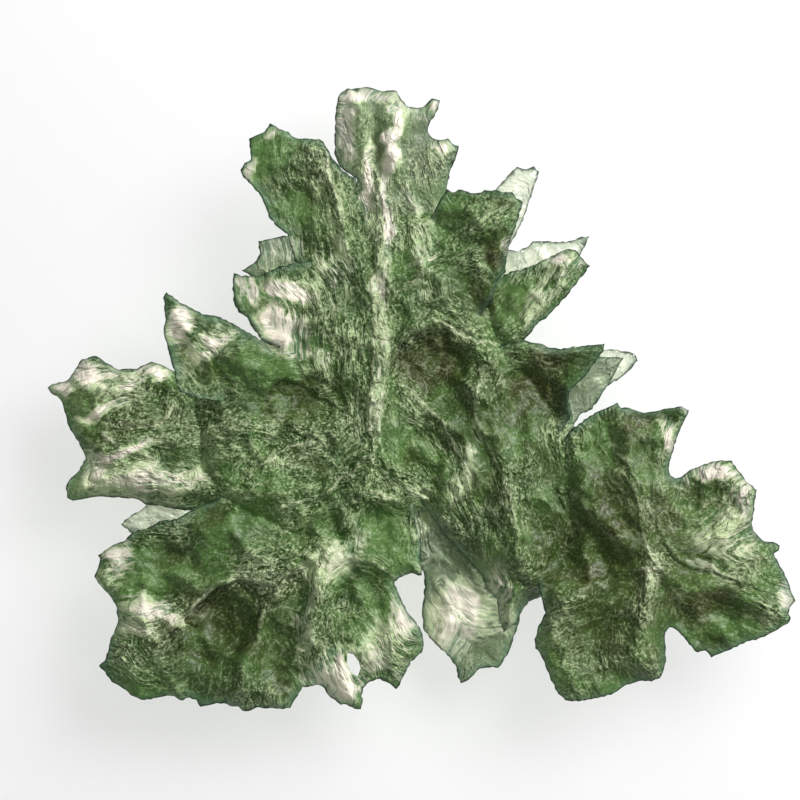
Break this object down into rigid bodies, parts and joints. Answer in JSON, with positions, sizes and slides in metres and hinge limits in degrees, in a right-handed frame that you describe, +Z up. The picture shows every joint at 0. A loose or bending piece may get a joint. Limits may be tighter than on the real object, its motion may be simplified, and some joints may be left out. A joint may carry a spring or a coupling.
{
  "type": "moldavite",
  "caption": "Natural green glass, flat and deeply sculpted like a thistle leaf, with toothed lobes, ridges and pits, resting on a small flat spot below",
  "frame": {"origin": "bottom centre of the stone's bounding box, level with the spot it rests on", "axes": "+X across the stone from the left lobe to the right leaf, +Y towards the crown, +Z up through its thickness"},
  "size_m": [0.037, 0.031, 0.0083],
  "materials": {
    "moldavite_glass": "satin natural glass, etched and finely wrinkled, bottle green with pale thin edges"
  },
  "bodies": {
    "root": {"moldavite": "moldavite_glass"}
  },
  "joints": []
}
